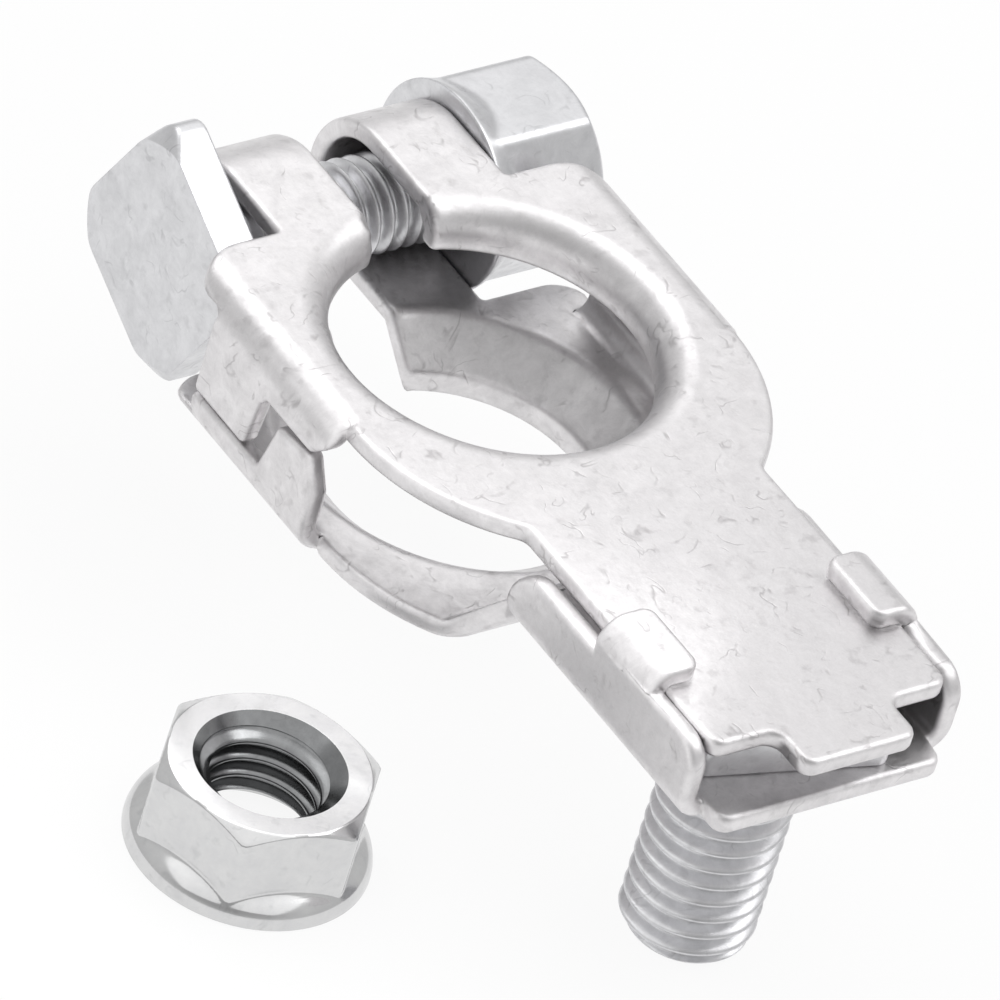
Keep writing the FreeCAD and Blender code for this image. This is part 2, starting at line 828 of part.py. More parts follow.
def place(body, x, y, z):
    """Sets a body where it belongs, given about the fold's middle."""
    for key, value in (("x", x), ("y", y), ("z", z - post_seat)):
        body.setExpression(f"Placement.Base.{key}", as_size(value).text)
    doc.recompute()


def check_and_write(bodies):
    doc.recompute()
    for item in doc.Objects:
        if "Invalid" in item.State or "Error" in item.State:
            raise RuntimeError(f"{item.Name} is {item.State}")
    os.makedirs("parts", exist_ok=True)
    for body in bodies:
        shape = body.Shape
        if shape.isNull() or not shape.isValid() or len(shape.Solids) != 1:
            raise RuntimeError(f"{body.Label} is not one valid solid")
        shape.exportStep(os.path.join("parts", f"{body.Label}.step"))
        box = shape.BoundBox
        print(f"{body.Label}: {shape.Volume:.1f} mm3, {len(shape.Faces)} faces, "
              f"x {box.XMin:.2f}..{box.XMax:.2f}, y {box.YMin:.2f}..{box.YMax:.2f}, "
              f"z {box.ZMin:.2f}..{box.ZMax:.2f}")


check_and_write([
    make_clamp_body(),
    make_clamp_bolt(),
    make_clamp_nut(),
    make_terminal_stud(),
    make_stud_nut(),
])
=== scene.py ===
"""The looks of a battery terminal clamp: its plated finishes, its rolled threads and the studio."""

import logging
import math
from dataclasses import dataclass
from enum import Enum
from typing import Any, Callable

import bmesh
import bpy
from mathutils import Matrix, Vector
from mathutils.bvhtree import BVHTree


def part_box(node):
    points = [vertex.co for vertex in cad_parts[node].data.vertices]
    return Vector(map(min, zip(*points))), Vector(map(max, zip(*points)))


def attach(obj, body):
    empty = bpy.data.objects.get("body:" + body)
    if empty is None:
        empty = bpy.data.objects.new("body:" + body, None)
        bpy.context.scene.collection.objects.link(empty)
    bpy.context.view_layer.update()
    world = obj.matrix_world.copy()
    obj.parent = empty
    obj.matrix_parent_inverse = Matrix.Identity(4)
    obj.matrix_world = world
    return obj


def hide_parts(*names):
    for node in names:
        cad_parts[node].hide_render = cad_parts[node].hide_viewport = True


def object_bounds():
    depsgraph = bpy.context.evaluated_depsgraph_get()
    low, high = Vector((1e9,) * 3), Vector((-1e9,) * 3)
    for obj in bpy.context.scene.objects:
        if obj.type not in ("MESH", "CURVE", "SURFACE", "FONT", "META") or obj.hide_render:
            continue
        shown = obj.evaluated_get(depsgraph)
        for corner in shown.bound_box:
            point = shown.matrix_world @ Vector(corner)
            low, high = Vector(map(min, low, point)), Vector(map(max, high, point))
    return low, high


LOG = logging.getLogger("terminal_clamp")

MM = 0.001
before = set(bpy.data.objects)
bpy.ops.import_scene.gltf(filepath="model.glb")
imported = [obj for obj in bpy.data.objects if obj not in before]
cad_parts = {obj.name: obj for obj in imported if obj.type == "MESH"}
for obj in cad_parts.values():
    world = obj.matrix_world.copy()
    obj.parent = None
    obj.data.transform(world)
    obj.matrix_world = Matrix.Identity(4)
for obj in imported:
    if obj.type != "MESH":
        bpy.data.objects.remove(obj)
CAD_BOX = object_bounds()

SAME_POINT = 1e-6  # metres; points nearer than this are one
IN_PLANE = 1e-8  # metres; a point this near a cutting plane lies in it
FLAT_ANGLE = 0.4  # degrees; faces that turn by less are one flat
SHARP_ANGLE = 38.0  # degrees; an edge that turns by more was sheared or cut
FOLD_AREA = 0.6 * MM**2  # a face that has folded over is smaller than this
FOLD_COSINE = -0.1  # and the cosine of its turn from the metal is under this
METRIC_DEPTH = 0.613  # a metric thread's depth, as a share of its pitch
CUTTER_SIDES = 96

UP = Vector((0.0, 0.0, 1.0))
DOWN = Vector((0.0, 0.0, -1.0))
TO_NUT = Vector((1.0, 0.0, 0.0))
TO_BOLT_HEAD = Vector((-1.0, 0.0, 0.0))
WHITE = (1.0, 1.0, 1.0, 1.0)

Link = tuple[bpy.types.Node, str | int]


class Combining(Enum):
    """How a second solid changes the first one."""

    JOIN = "UNION"
    CUT = "DIFFERENCE"


def linear(hex_colour: str) -> tuple[float, float, float, float]:
    """Turn an sRGB hex colour to the linear values that a shader takes.

    Args:
        hex_colour: The colour as "#RRGGBB".

    Returns:
        Linear red, green and blue, and a full alpha.
    """
    digits = hex_colour.lstrip("#")
    shares = [int(digits[i:i + 2], 16) / 255 for i in (0, 2, 4)]
    red, green, blue = (
        share / 12.92 if share <= 0.04045 else ((share + 0.055) / 1.055) ** 2.4
        for share in shares
    )
    return red, green, blue, 1.0


def add_node(
    tree: bpy.types.NodeTree,
    kind: str,
    inputs: dict[str | int, Any] | None = None,
    **settings: Any,
) -> bpy.types.Node:
    """Add a node to a tree, with its settings and its inputs.

    Args:
        tree: The tree that takes the node.
        kind: The node's type, such as "ShaderNodeMath".
        inputs: Socket name or number to a plain value, or to a link of a node and its output's
            name or number.
        **settings: The node's own properties.

    Returns:
        The new node.
    """
    node = tree.nodes.new(kind)
    for name, value in settings.items():
        setattr(node, name, value)
    for key, value in (inputs or {}).items():
        socket = node.inputs[key]
        if isinstance(value, tuple) and value and isinstance(value[0], bpy.types.Node):
            tree.links.new(value[0].outputs[value[1]], socket)
        else:
            socket.default_value = value
    return node


def per_metre(feature_mm: float) -> float:
    """Give the texture scale whose features are about this many millimetres across."""
    return 1.0 / (feature_mm * MM)


@dataclass(frozen=True)
class PlatedSteel:
    """Steel with a thin metal plate, tumbled in a bin with its fellows.

    The plate gives a pale metal with a soft sheen that is cloudy from patch to patch. Rubbing
    leaves fine curved scuffs, small stains and shallow dents that break up the edge of each
    highlight. Widths, spacings and depths are in millimetres. The plate's real grain is some
    0.05 mm, and is drawn at 0.35 mm so that it shows.
    """

    name: str
    colour: str
    worn_colour: str
    scuff_colour: str
    roughness: float
    roughness_spread: float
    scuff_share: float
    dent_depth: float
    edge_wear: float
    cloud_width: float = 1.6
    scuff_spacing: float = 2.4
    stain_spacing: float = 1.1
    stain_share: float = 0.3
    dent_width: float = 1.5
    grain_width: float = 0.35
    cloud_limits: tuple[float, float] = (0.35, 0.7)
    scuff_limits: tuple[float, float] = (0.52, 0.65)
    stain_limits: tuple[float, float] = (0.6, 0.74)
    scuff_line: float = 0.03
    scuff_patch: float = 0.6
    scuff_cut: float = 0.4

    def material(self) -> bpy.types.Material:
        """Build the finish as a node material on object coordinates.

        Returns:
            The new material.
        """
        material = bpy.data.materials.new(self.name)
        material.use_nodes = True
        tree = material.node_tree
        tree.nodes.clear()
        place = (add_node(tree, "ShaderNodeTexCoord"), "Object")
        clouds = self._clouds(tree, place)
        scuffs = self._scuffs(tree, place)
        # The Mix node takes its two colours at sockets 6 and 7 and gives the blend at output 2.
        base = add_node(
            tree,
            "ShaderNodeMix",
            {0: (clouds, 0), 6: linear(self.colour), 7: linear(self.worn_colour)},
            data_type="RGBA",
        )
        marked = add_node(
            tree,
            "ShaderNodeMix",
            {0: (scuffs, 0), 6: (base, 2), 7: linear(self.scuff_colour)},
            data_type="RGBA",
        )
        sheen = add_node(
            tree,
            "ShaderNodeMapRange",
            {
                "Value": (clouds, 0),
                "To Min": self.roughness - self.roughness_spread,
                "To Max": self.roughness + self.roughness_spread,
            },
        )
        worn_edges = add_node(tree, "ShaderNodeBevel", {"Radius": self.edge_wear * MM}, samples=4)
        bump = add_node(
            tree,
            "ShaderNodeBump",
            {
                "Strength": 1.0,
                "Distance": self.dent_depth * MM,
                "Height": (self._relief(tree, place, scuffs), 0),
                "Normal": (worn_edges, 0),
            },
        )
        shader = add_node(
            tree,
            "ShaderNodeBsdfPrincipled",
            {
                "Base Color": (marked, 2),
                "Metallic": 1.0,
                "Roughness": (sheen, 0),
                "Normal": (bump, 0),
            },
        )
        add_node(tree, "ShaderNodeOutputMaterial", {"Surface": (shader, 0)})
        return material

    def _clouds(self, tree: bpy.types.NodeTree, place: Link) -> bpy.types.Node:
        """Add the soft patches that an uneven plate shows.

        Args:
            tree: The material's tree.
            place: The link that brings object coordinates.

        Returns:
            The node whose output 0 goes from 0, fresh plate, to 1, worn plate.
        """
        low, high = self.cloud_limits
        noise = add_node(
            tree,
            "ShaderNodeTexNoise",
            {
                "Vector": place,
                "Scale": per_metre(self.cloud_width),
                "Detail": 6.0,
                "Roughness": 0.75,
                "Distortion": 0.3,
            },
        )
        return add_node(
            tree, "ShaderNodeMapRange", {"Value": (noise, 0), "From Min": low, "From Max": high}
        )

    def _scuffs(self, tree: bpy.types.NodeTree, place: Link) -> bpy.types.Node:
        """Add short curved scuffs and small soft stains.

        A scuff is a level line of one noise, kept where a second noise is high.

        Args:
            tree: The material's tree.
            place: The link that brings object coordinates.

        Returns:
            The node whose output 0 is the share of the mark's colour.
        """
        waves = add_node(
            tree,
            "ShaderNodeTexNoise",
            {
                "Vector": place,
                "Scale": per_metre(self.scuff_spacing),
                "Detail": 2.0,
                "Roughness": 0.5,
                "Distortion": 0.9,
            },
        )
        away = add_node(tree, "ShaderNodeMath", {0: (waves, 0), 1: 0.5}, operation="SUBTRACT")
        level = add_node(tree, "ShaderNodeMath", {0: (away, 0)}, operation="ABSOLUTE")
        line = add_node(
            tree,
            "ShaderNodeMapRange",
            {
                "Value": (level, 0),
                "From Min": 0.0,
                "From Max": self.scuff_line,
                "To Min": 1.0,
                "To Max": 0.0,
            },
        )
        patch = add_node(
            tree,
            "ShaderNodeTexNoise",
            {
                "Vector": place,
                "Scale": per_metre(self.scuff_spacing * self.scuff_patch),
                "Detail": 2.0,
            },
        )
        low, high = self.scuff_limits
        kept = add_node(
            tree,
            "ShaderNodeMapRange",
            {"Value": (patch, 0), "From Min": low, "From Max": high, "To Max": self.scuff_share},
        )
        lines = add_node(
            tree, "ShaderNodeMath", {0: (line, 0), 1: (kept, 0)}, operation="MULTIPLY"
        )
        spots = add_node(
            tree,
            "ShaderNodeTexNoise",
            {"Vector": place, "Scale": per_metre(self.stain_spacing), "Detail": 3.0},
        )
        low, high = self.stain_limits
        stains = add_node(
            tree,
            "ShaderNodeMapRange",
            {"Value": (spots, 0), "From Min": low, "From Max": high, "To Max": self.stain_share},
        )
        return add_node(
            tree, "ShaderNodeMath", {0: (lines, 0), 1: (stains, 0)}, operation="MAXIMUM"
        )

    def _relief(
        self, tree: bpy.types.NodeTree, place: Link, scuffs: bpy.types.Node
    ) -> bpy.types.Node:
        """Add the height field: shallow dents and a fine grain, with the scuffs cut into them.

        Args:
            tree: The material's tree.
            place: The link that brings object coordinates.
            scuffs: The node that gives the scuffs' share.

        Returns:
            The node whose output 0 is the height, as a share of the dents' depth.
        """
        dents = add_node(
            tree,
            "ShaderNodeTexNoise",
            {
                "Vector": place,
                "Scale": per_metre(self.dent_width),
                "Detail": 3.0,
                "Roughness": 0.5,
                "Lacunarity": self.dent_width / self.grain_width / 2,
            },
        )
        cut = add_node(
            tree, "ShaderNodeMath", {0: (scuffs, 0), 1: self.scuff_cut}, operation="MULTIPLY"
        )
        return add_node(tree, "ShaderNodeMath", {0: (dents, 0), 1: (cut, 0)}, operation="SUBTRACT")


# Pickled sheet with a dull tin plate: the softest sheen here, with the most clouds and scuffs.
TINNED_SHEET = PlatedSteel(
    name="tinned_pressed_steel",
    colour="#E8E6E7",
    worn_colour="#D3D1D2",
    scuff_colour="#A5A2A3",
    roughness=0.4,
    roughness_spread=0.06,
    scuff_share=0.6,
    dent_depth=0.035,
    edge_wear=0.35,
)
# Zinc on forged bolt steel: a little greyer and smoother than the sheet.
ZINCED_FASTENER = PlatedSteel(
    name="zinc_plated_bolt_steel",
    colour="#DFDFE1",
    worn_colour="#CCCCCE",
    scuff_colour="#ABABAD",
    roughness=0.34,
    roughness_spread=0.05,
    scuff_share=0.5,
    dent_depth=0.015,
    edge_wear=0.08,
)
# Bright zinc on a machined nut: nearly a mirror, with hard black and white reflections.
BRIGHT_NUT = PlatedSteel(
    name="bright_zinc_plated_nut_steel",
    colour="#D9D9D9",
    worn_colour="#D0D0D1",
    scuff_colour="#B0B1B2",
    roughness=0.15,
    roughness_spread=0.02,
    scuff_share=0.3,
    dent_depth=0.003,
    edge_wear=0.05,
)
# The nut's tapped bore and the cone of its mouth: painted shade, a darker grey than the nut's
# outside that stands in for the shade and dark reflections inside the bore.
BORE_PAINTED_SHADE = PlatedSteel(
    name="tapped_bore_painted_shade",
    colour="#8E8F90",
    worn_colour="#7E7F80",
    scuff_colour="#6A6A6B",
    roughness=0.2,
    roughness_spread=0.03,
    scuff_share=0.3,
    dent_depth=0.003,
    edge_wear=0.03,
)


@dataclass(frozen=True)
class StudioFloor:
    """Matt white board that keeps a soft shadow and shows white to the camera and in the metal."""

    name: str = "white_board"
    colour: str = "#F4F4F4"
    own_light: float = 0.9

    def material(self) -> bpy.types.Material:
        """Build the floor's material.

        Returns:
            The new material.
        """
        material = bpy.data.materials.new(self.name)
        material.use_nodes = True
        tree = material.node_tree
        tree.nodes.clear()
        path = add_node(tree, "ShaderNodeLightPath")
        seen = add_node(
            tree,
            "ShaderNodeMath",
            {0: (path, "Is Camera Ray"), 1: (path, "Is Glossy Ray")},
            operation="MAXIMUM",
        )
        through = add_node(
            tree,
            "ShaderNodeMath",
            {0: (seen, 0), 1: (path, "Is Transmission Ray")},
            operation="MAXIMUM",
        )
        share = add_node(
            tree, "ShaderNodeMath", {0: (through, 0), 1: self.own_light}, operation="MULTIPLY"
        )
        matt = add_node(
            tree, "ShaderNodeBsdfDiffuse", {"Color": linear(self.colour), "Roughness": 0.0}
        )
        white = add_node(tree, "ShaderNodeEmission", {"Color": WHITE, "Strength": 1.0})
        both = add_node(tree, "ShaderNodeMixShader", {0: (share, 0), 1: (matt, 0), 2: (white, 0)})
        add_node(tree, "ShaderNodeOutputMaterial", {"Surface": (both, 0)})
        return material


def merged_copy(
    node: str,
    name: str,
    keep: Callable[[bmesh.types.BMFace], bool] | None = None,
) -> bpy.types.Object:
    """Copy a CAD node's mesh as one closed surface of flat faces and smooth bends.

    Args:
        node: The CAD node's name.
        name: The new object's name.
        keep: A test that a face has to pass to stay, or None to keep every face.

    Returns:
        The new object, at the origin. A hole that the test leaves is closed with a flat face.
    """
    work = bmesh.new()
    work.from_mesh(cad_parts[node].data)
    bmesh.ops.remove_doubles(work, verts=work.verts, dist=SAME_POINT)
    if keep is not None:
        waste = [face for face in work.faces if not keep(face)]
        bmesh.ops.delete(work, geom=waste, context="FACES")
        close_holes(work)
    bmesh.ops.dissolve_limit(
        work, angle_limit=math.radians(FLAT_ANGLE), verts=work.verts, edges=work.edges
    )
    return shaped(name, work)


def new_object(name: str, mesh: bpy.types.Mesh) -> bpy.types.Object:
    """Put a mesh in the scene as an object at the origin.

    Args:
        name: The object's name.
        mesh: Its mesh.

    Returns:
        The object.
    """
    obj = bpy.data.objects.new(name, mesh)
    bpy.context.scene.collection.objects.link(obj)
    return obj


def shaped(name: str, work: bmesh.types.BMesh) -> bpy.types.Object:
    """Turn a working mesh to an object at the origin, and free it.

    Args:
        name: The name of the object and of its mesh.
        work: The working mesh.

    Returns:
        The object.
    """
    mesh = bpy.data.meshes.new(name)
    work.to_mesh(mesh)
    work.free()
    return new_object(name, mesh)


def close_holes(work: bmesh.types.BMesh) -> None:
    """Close every open rim of a mesh with a flat face, and turn all faces outwards.

    Args:
        work: The mesh.
    """
    rims = [edge for edge in work.edges if edge.is_boundary]
    bmesh.ops.holes_fill(work, edges=rims, sides=0)
    bmesh.ops.recalc_face_normals(work, faces=work.faces)


def applied(obj: bpy.types.Object) -> bpy.types.Object:
    """Turn an object's modifiers into its mesh.

    Args:
        obj: The object.

    Returns:
        The same object, with a plain mesh and no modifiers.
    """
    depsgraph = bpy.context.evaluated_depsgraph_get()
    mesh = bpy.data.meshes.new_from_object(obj.evaluated_get(depsgraph))
    obj.modifiers.clear()
    obj.data = mesh
    return obj


def soften_edges(obj: bpy.types.Object, width_mm: float, segments: int = 2) -> bpy.types.Object:
    """Round an object's outer edges, as shearing and tumbling leave them.

    Args:
        obj: The object.
        width_mm: How far the rounding reaches on each side of an edge.
        segments: The faces across each rounding.

    Returns:
        The same object. A point that a short edge threw off the metal is back on its surface.
    """
    width = width_mm * MM
    work = bmesh.new()
    work.from_mesh(obj.data)
    metal = BVHTree.FromBMesh(work)
    outwards = [face.normal.copy() for face in work.faces]
    edges = [
        edge
        for edge in work.edges
        if edge.is_manifold and edge.calc_face_angle_signed() > math.radians(SHARP_ANGLE)
    ]
    bmesh.ops.bevel(
        work,
        geom=edges,
        offset=width,
        offset_type="OFFSET",
        segments=segments,
        profile=0.5,
        affect="EDGES",
        clamp_overlap=False,
    )
    for vert in work.verts:
        nearest, _, _, distance = metal.find_nearest(vert.co)
        if distance > width / 2:
            vert.co = nearest
    bmesh.ops.remove_doubles(work, verts=work.verts, dist=SAME_POINT)
    mend_folds(work, metal, outwards)
    work.to_mesh(obj.data)
    work.free()
    return obj


def mend_folds(
    work: bmesh.types.BMesh, metal: BVHTree, outwards: list[Vector], passes: int = 12
) -> None:
    """Collapse the small faces that rounding a tight corner has folded over.

    Args:
        work: The rounded mesh.
        metal: The surface before its edges were rounded.
        outwards: The normal of each of that surface's faces.
        passes: The most rounds of collapsing.
    """
    for _ in range(passes):
        work.normal_update()
        folds = []
        for face in work.faces:
            _, _, below, _ = metal.find_nearest(face.calc_center_median())
            if face.calc_area() < FOLD_AREA and face.normal.dot(outwards[below]) < FOLD_COSINE:
                folds.append(face)
        shortest = {min(face.edges, key=lambda edge: edge.calc_length()) for face in folds}
        taken: set[bmesh.types.BMVert] = set()
        apart = []
        for edge in sorted(shortest, key=lambda edge: (edge.calc_length(), edge.index)):
            if taken.isdisjoint(edge.verts):
                taken.update(edge.verts)
                apart.append(edge)
        bmesh.ops.collapse(work, edges=apart)
        work.edges.index_update()
    bmesh.ops.delete(work, geom=[edge for edge in work.edges if edge.is_wire], context="EDGES")
    bmesh.ops.delete(work, geom=[v for v in work.verts if not v.link_faces], context="VERTS")


def shade(obj: bpy.types.Object) -> None:
    """Shade an object smooth apart from sharp edges, with its large flats kept flat.

    Args:
        obj: The object.
    """
    mesh = obj.data
    mesh.polygons.foreach_set("use_smooth", [True] * len(mesh.polygons))
    mesh.set_sharp_from_angle(angle=math.radians(SHARP_ANGLE))
    weighted = obj.modifiers.new("even_flats", "WEIGHTED_NORMAL")
    weighted.keep_sharp = True
    weighted.mode = "FACE_AREA"


def combined(
    first: bpy.types.Object, second: bpy.types.Object, how: Combining
) -> bpy.types.Object:
    """Join or cut one closed mesh with another.

    Args:
        first: The object that keeps its name.
        second: The other one, which is used up.
        how: Whether the second one is joined to the first or cut out of it.

    Returns:
        The first object, with the result as its mesh.
    """
    boolean = first.modifiers.new("combine", "BOOLEAN")
    boolean.operation = how.value
    boolean.solver = "EXACT"
    boolean.object = second
    applied(first)
    bpy.data.objects.remove(second)
    return first


def paint(obj: bpy.types.Object, finish: bpy.types.Material) -> None:
    """Give a whole object one finish.

    Args:
        obj: The object.
        finish: The material that it takes.
    """
    obj.data.materials.clear()
    obj.data.materials.append(finish)
    obj.data.polygons.foreach_set("material_index", [0] * len(obj.data.polygons))


@dataclass
class Thread:
    """A rolled screw thread of the metric form, made by Geometry Nodes as a closed rod.

    Sizes are in millimetres. The rod stands on the origin along +Z, and its chamfer is at the top.
    The helix starts some turns below the origin and ends above the top, so that cutting the rod
    to its length takes both ragged ends off.
    """

    major_radius: float
    pitch: float
    length: float
    end_chamfer: float = 0.0
    around: int = 72
    rows_per_turn: int = 16
    root_share: float = 0.05
    crest_share: float = 0.0
    spare_turns: int = 2
    turns_below: float = 1.5

    @property
    def depth(self) -> float:
        """Depth of the thread's groove, in millimetres."""
        return METRIC_DEPTH * self.pitch

    def build(self, name: str, finish: bpy.types.Material) -> bpy.types.Object:
        """Evaluate the tree to a plain mesh and cut both of its ends flat.

        Args:
            name: The new object's name.
            finish: The material that the mesh takes.

        Returns:
            The rod.
        """
        carrier = new_object(name, bpy.data.meshes.new(name))
        modifier = carrier.modifiers.new("thread", "NODES")
        modifier.node_group = self._tree()
        turns = math.ceil(self.length / self.pitch) + self.spare_turns
        values = {
            "Major Radius": self.major_radius * MM,
            "Pitch": self.pitch * MM,
            "Length": self.length * MM,
            "Depth": self.depth * MM,
            "End Chamfer": self.end_chamfer * MM,
            "Turns": turns,
            "Around": self.around + 1,
            "Rows": turns * self.rows_per_turn + 1,
            "Finish": finish,
        }
        for item in modifier.node_group.interface.items_tree:
            if item.in_out == "INPUT":
                modifier[item.identifier] = values[item.name]
        applied(carrier)
        self._trim_ends(carrier.data)
        return carrier

    def _tree(self) -> bpy.types.NodeTree:
        """Build the node tree: a grid wrapped round the axis, whose rows follow the helix.

        Returns:
            The tree, with its sizes as named inputs.
        """
        tree = bpy.data.node_groups.new("threaded_rod", "GeometryNodeTree")
        for name in ("Major Radius", "Pitch", "Length", "Depth", "End Chamfer"):
            tree.interface.new_socket(name, in_out="INPUT", socket_type="NodeSocketFloat")
        for name in ("Turns", "Around", "Rows"):
            tree.interface.new_socket(name, in_out="INPUT", socket_type="NodeSocketInt")
        tree.interface.new_socket("Finish", in_out="INPUT", socket_type="NodeSocketMaterial")
        tree.interface.new_socket("Geometry", in_out="OUTPUT", socket_type="NodeSocketGeometry")
        given = add_node(tree, "NodeGroupInput")
        grid = add_node(
            tree,
            "GeometryNodeMeshGrid",
            {"Vertices X": (given, "Around"), "Vertices Y": (given, "Rows")},
        )
        spot = add_node(
            tree, "ShaderNodeSeparateXYZ", {0: (add_node(tree, "GeometryNodeInputPosition"), 0)}
        )
        groove = add_node(
            tree,
            "ShaderNodeMapRange",
            {
                "From Min": self.root_share,
                "From Max": 1.0 - self.crest_share,
                "To Min": (given, "Depth"),
                "To Max": 0.0,
            },
            interpolation_type="SMOOTHSTEP",
        )
        # The grid runs from -0.5 to 0.5: X gives the turn round the axis, and Y the row.
        # In a sum, a word stands for the result of the sum of that name.
        sums: tuple[tuple[str, str, str | Link | float, str | Link | float], ...] = (
            ("turn", "ADD", (spot, "X"), 0.5),
            ("part", "ADD", (spot, "Y"), 0.5),
            ("row", "MULTIPLY", "part", (given, "Turns")),
            ("climb", "ADD", "row", "turn"),
            ("lead", "SUBTRACT", "climb", self.turns_below),
            ("height", "MULTIPLY", "lead", (given, "Pitch")),
            ("phase", "FRACT", "row", 0.0),
            ("double_phase", "MULTIPLY", "phase", 2.0),
            ("from_root", "SUBTRACT", "double_phase", 1.0),
            ("ridge", "ABSOLUTE", "from_root", 0.0),
            ("threaded", "SUBTRACT", (given, "Major Radius"), (groove, 0)),
            ("tip_radius", "SUBTRACT", (given, "Major Radius"), (given, "End Chamfer")),
            ("below_top", "SUBTRACT", (given, "Length"), "height"),
            ("cone", "ADD", "tip_radius", "below_top"),
            ("end_limit", "MAXIMUM", "cone", 0.0),
            ("radius", "MINIMUM", "threaded", "end_limit"),
            ("angle", "MULTIPLY", "turn", math.tau),
            ("cosine", "COSINE", "angle", 0.0),
            ("sine", "SINE", "angle", 0.0),
            ("x", "MULTIPLY", "radius", "cosine"),
            ("y", "MULTIPLY", "radius", "sine"),
        )
        found: dict[str, Link] = {}
        for name, operation, *sides in sums:
            inputs = {i: found[v] if isinstance(v, str) else v for i, v in enumerate(sides)}
            found[name] = add_node(tree, "ShaderNodeMath", inputs, operation=operation), 0
        tree.links.new(found["ridge"][0].outputs[0], groove.inputs["Value"])
        point = add_node(
            tree, "ShaderNodeCombineXYZ", {0: found["x"], 1: found["y"], 2: found["height"]}
        )
        wrapped = add_node(
            tree, "GeometryNodeSetPosition", {"Geometry": (grid, "Mesh"), "Position": (point, 0)}
        )
        closed = add_node(
            tree,
            "GeometryNodeMergeByDistance",
            {"Geometry": (wrapped, 0), "Distance": SAME_POINT},
        )
        real = add_node(tree, "GeometryNodeRealizeInstances", {0: (closed, 0)})
        dressed = add_node(
            tree, "GeometryNodeSetMaterial", {"Geometry": (real, 0), "Material": (given, "Finish")}
        )
        add_node(tree, "NodeGroupOutput", {0: (dressed, 0)})
        return tree

    def _trim_ends(self, mesh: bpy.types.Mesh) -> None:
        """Cut the helix's ragged ends off flat and close them.

        Args:
            mesh: The rod's mesh.
        """
        work = bmesh.new()
        work.from_mesh(mesh)
        for height, upwards in ((0.0, -1.0), (self.length * MM, 1.0)):
            bmesh.ops.bisect_plane(
                work,
                geom=[*work.verts, *work.edges, *work.faces],
                dist=IN_PLANE,
                plane_co=(0.0, 0.0, height),
                plane_no=(0.0, 0.0, upwards),
                clear_outer=True,
            )
        close_holes(work)
        work.to_mesh(mesh)
        work.free()


def place_mesh(obj: bpy.types.Object, start: Vector, direction: Vector) -> None:
    """Turn a mesh's +Z to a direction and move its origin to a point, inside the mesh itself."""
    turn = UP.rotation_difference(direction).to_matrix().to_4x4()
    obj.data.transform(Matrix.Translation(start) @ turn)


def soft_min(first: float, second: float, reach: float) -> float:
    """Take the lesser of two lengths, blended where they lie within a reach of each other."""
    share = max(reach - abs(first - second), 0.0) / reach
    return min(first, second) - share * share * reach / 4


@dataclass(frozen=True)
class Flange:
    """A nut's built-on washer in section: an upright rim, a bevel, and a cone up to the hexagon.

    Sizes are in millimetres, and heights count from the seat.
    """

    radius: float
    rim_height: float
    shoulder_radius: float
    shoulder_height: float
    cone_radius: float
    cone_height: float
    softness: float = 0.25

    def radius_at(self, height: float) -> float:
        """Give the flange's radius at one height.

        Args:
            height: The height above the seat, in millimetres.

        Returns:
            The radius, in millimetres.
        """
        bevel = self.radius + (height - self.rim_height) * (
            (self.shoulder_radius - self.radius) / (self.shoulder_height - self.rim_height)
        )
        cone = self.shoulder_radius + (height - self.shoulder_height) * (
            (self.cone_radius - self.shoulder_radius) / (self.cone_height - self.shoulder_height)
        )
        return soft_min(self.radius, soft_min(bevel, cone, self.softness), self.softness)


@dataclass(frozen=True)
class WrenchHead:
    """A forged square or hexagon with soft corners, its free face turned to a cone.

    Sizes are in millimetres. It stands on the origin along +Z, and a flat faces the turn's angle.
    """

    sides: int
    across: float
    height: float
    turn: float
    corner_round: float
    face_radius: float
    chamfer_radius: float
    chamfer_depth: float
    edge_round: float = 0.16
    flange: Flange | None = None
    around: int = 180
    row_height: float = 0.1

    def build(self, name: str) -> bpy.types.Object:
        """Lay rings of points from the seat to the free face and skin them.

        Args:
            name: The new object's name.

        Returns:
            The closed head, with no bore.
        """
        rows = round(self.height / self.row_height)
        work = bmesh.new()
        rings = [self._ring(work, self.height * row / rows) for row in range(rows + 1)]
        for below, above in zip(rings, rings[1:]):
            for i in range(self.around):
                j = (i + 1) % self.around
                work.faces.new((below[i], below[j], above[j], above[i]))
        work.faces.new(reversed(rings[0]))
        work.faces.new(rings[-1])
        return shaped(name, work)

    def _ring(self, work: bmesh.types.BMesh, height: float) -> list[bmesh.types.BMVert]:
        """Add one ring of points.

        Args:
            work: The mesh that takes the points.
            height: The ring's height above the seat, in millimetres.

        Returns:
            The points, in order round the axis.
        """
        ring = []
        for i in range(self.around):
            angle = math.tau * i / self.around
            radius = self._radius_at(angle, height)
            spot = (radius * math.cos(angle), radius * math.sin(angle), height)
            ring.append(work.verts.new(Vector(spot) * MM))
        return ring

    def _radius_at(self, angle: float, height: float) -> float:
        """Give the head's radius in one direction at one height.

        Args:
            angle: The direction, in radians.
            height: The height above the seat, in millimetres.

        Returns:
            The radius, in millimetres.
        """
        step = math.tau / self.sides
        from_flat = (angle - math.radians(self.turn) + step / 2) % step - step / 2
        flat = self.across / 2 / math.cos(from_flat)
        next_flat = self.across / 2 / math.cos(step - abs(from_flat))
        side = soft_min(flat, next_flat, self.corner_round)
        spread = (self.chamfer_radius - self.face_radius) / self.chamfer_depth
        cone = self.face_radius + (self.height - height) * spread
        radius = soft_min(side, cone, self.edge_round)
        if self.flange:
            radius = -soft_min(-radius, -self.flange.radius_at(height), self.edge_round)
        low_edge = max(self.edge_round - height, 0.0)
        return radius - self.edge_round + math.sqrt(self.edge_round**2 - low_edge**2)


